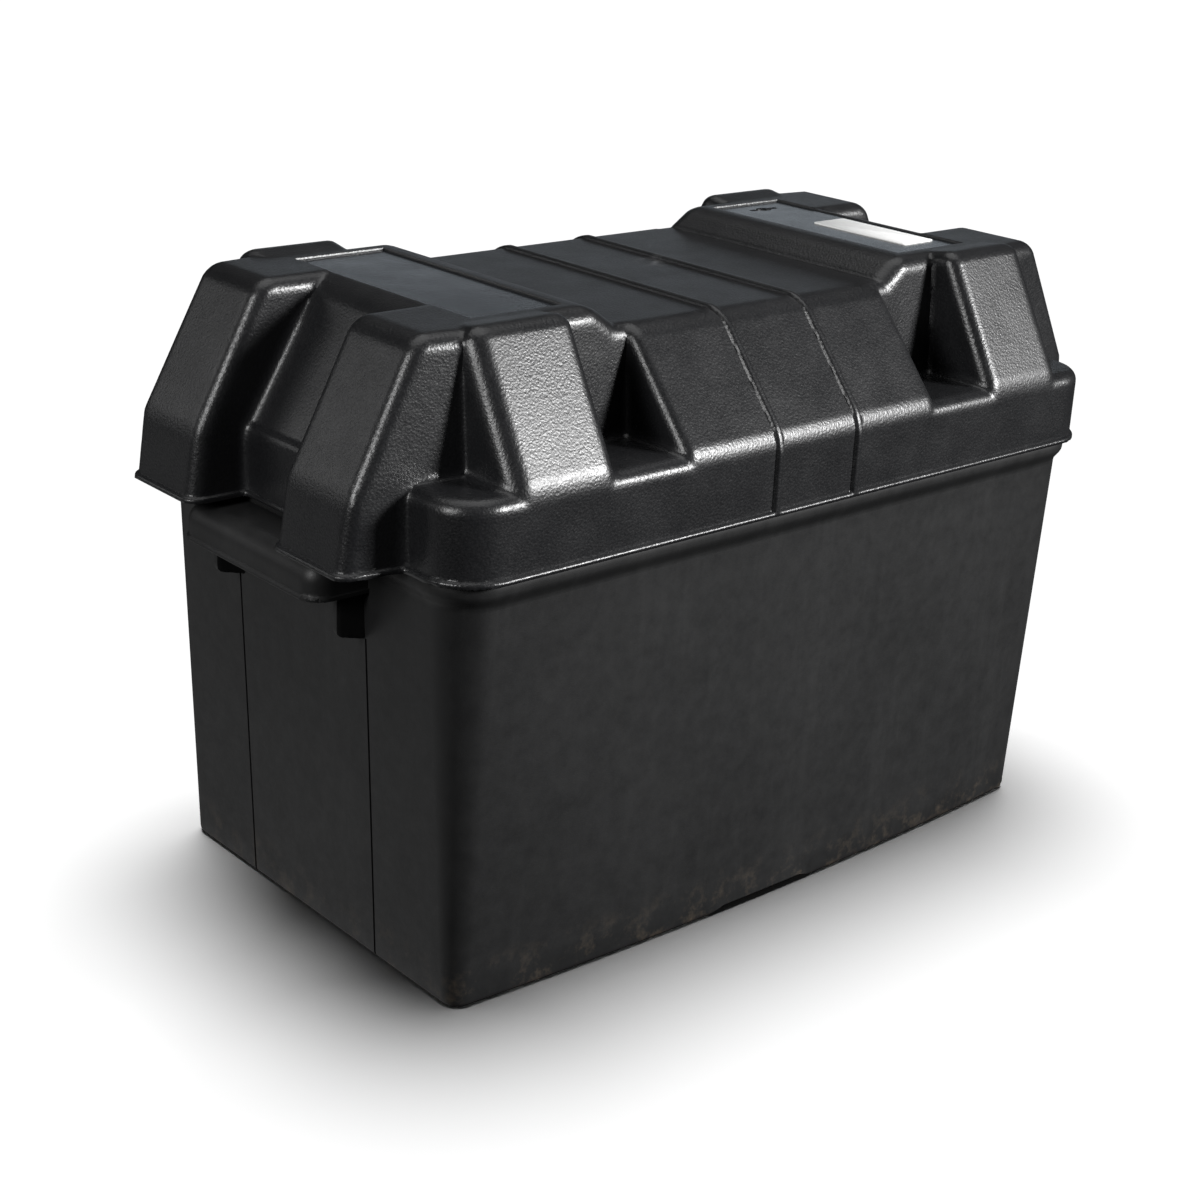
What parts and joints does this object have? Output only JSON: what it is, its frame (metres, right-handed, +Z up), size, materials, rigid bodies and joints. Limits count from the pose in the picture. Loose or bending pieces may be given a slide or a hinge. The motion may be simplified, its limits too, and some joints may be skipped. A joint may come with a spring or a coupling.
{
  "type": "battery box",
  "caption": "Drafted plastic battery tub with end handle ledges and a ribbed lift-off lid that stands higher over each end.",
  "frame": {"origin": "on the surface that the tub stands on, midway along and across the box", "axes": "+X along the box's length towards the labelled tower, +Y across it, +Z up"},
  "size_m": [0.402, 0.212, 0.257],
  "materials": {
    "tub_plastic": "satin moulded black polypropylene, lightly scuffed",
    "lid_plastic": "coarse-grained moulded black polypropylene, semi-gloss",
    "label_film": "blank white adhesive film"
  },
  "bodies": {
    "tub": {"tub": "tub_plastic"},
    "lid": {"lid": "lid_plastic", "label": "label_film"}
  },
  "joints": [
    {"name": "lid_lift", "type": "slide", "parent": "tub", "child": "lid", "axis": [0, 0, 1], "range_m": [0, 0.26]}
  ]
}
